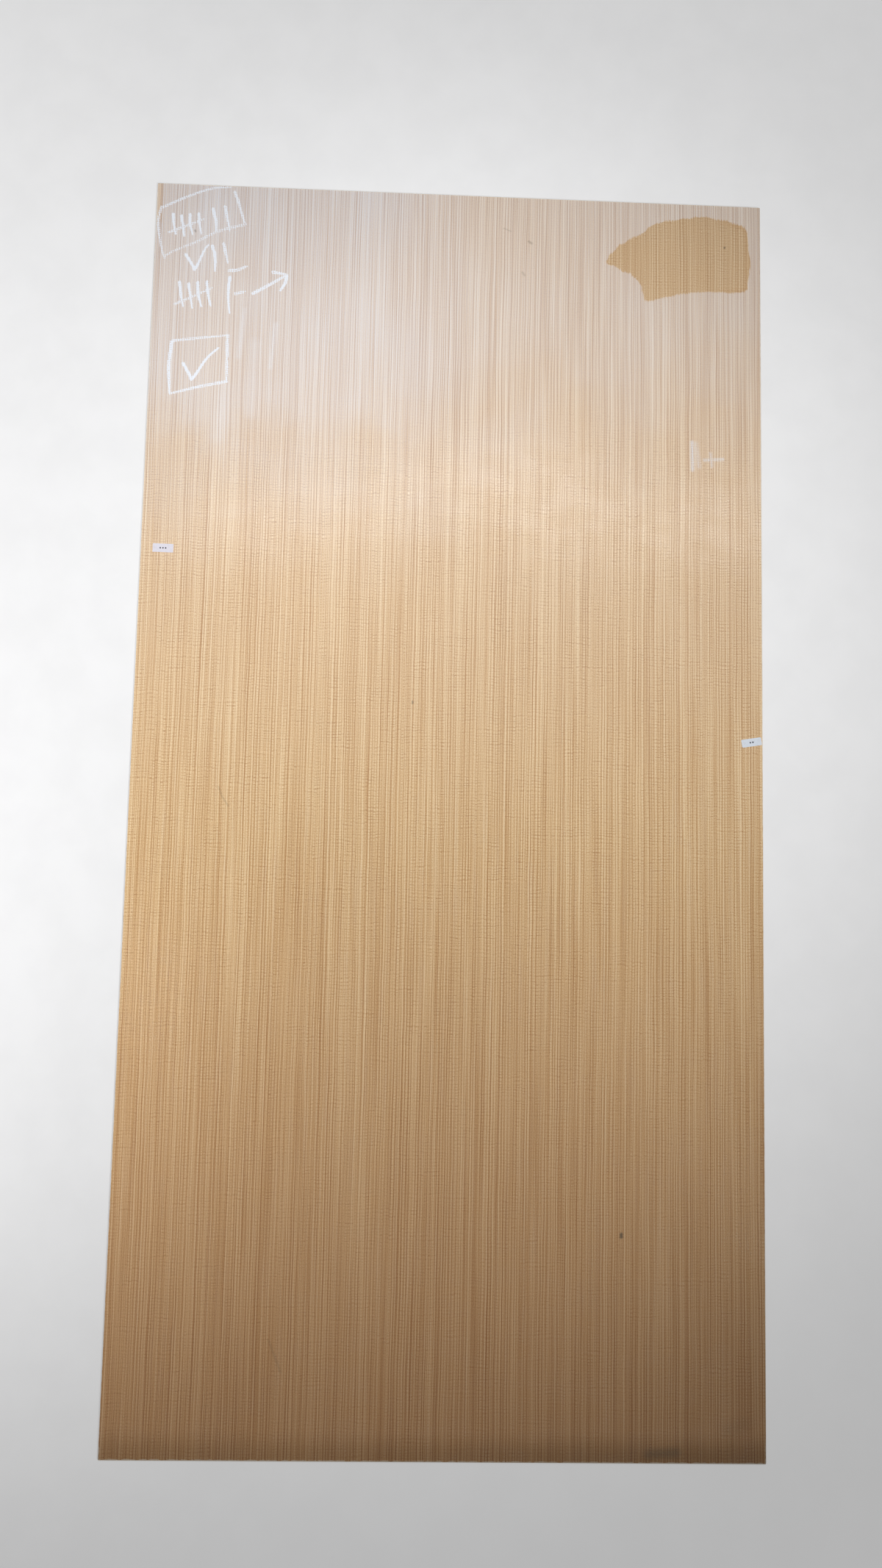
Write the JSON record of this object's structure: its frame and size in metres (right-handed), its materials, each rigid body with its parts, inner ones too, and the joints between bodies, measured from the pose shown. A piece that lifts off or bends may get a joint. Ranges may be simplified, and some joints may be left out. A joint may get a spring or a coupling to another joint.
{
  "type": "wood veneer sheet",
  "caption": "Flat decorative wood veneered sheet with straight lengthwise grain, eased edges and small blank paper labels on its show face.",
  "frame": {"origin": "centre of the back face, on the surface that the sheet lies on", "axes": "+Z out of the show face, +Y along the grain and the length, +X across the width"},
  "size_m": [1.22, 2.44, 0.0041],
  "materials": {
    "veneer": "satin",
    "label_paper": "matte"
  },
  "bodies": {
    "root": {"veneer_sheet": "veneer", "left_label": "label_paper", "right_label": "label_paper"}
  },
  "joints": []
}
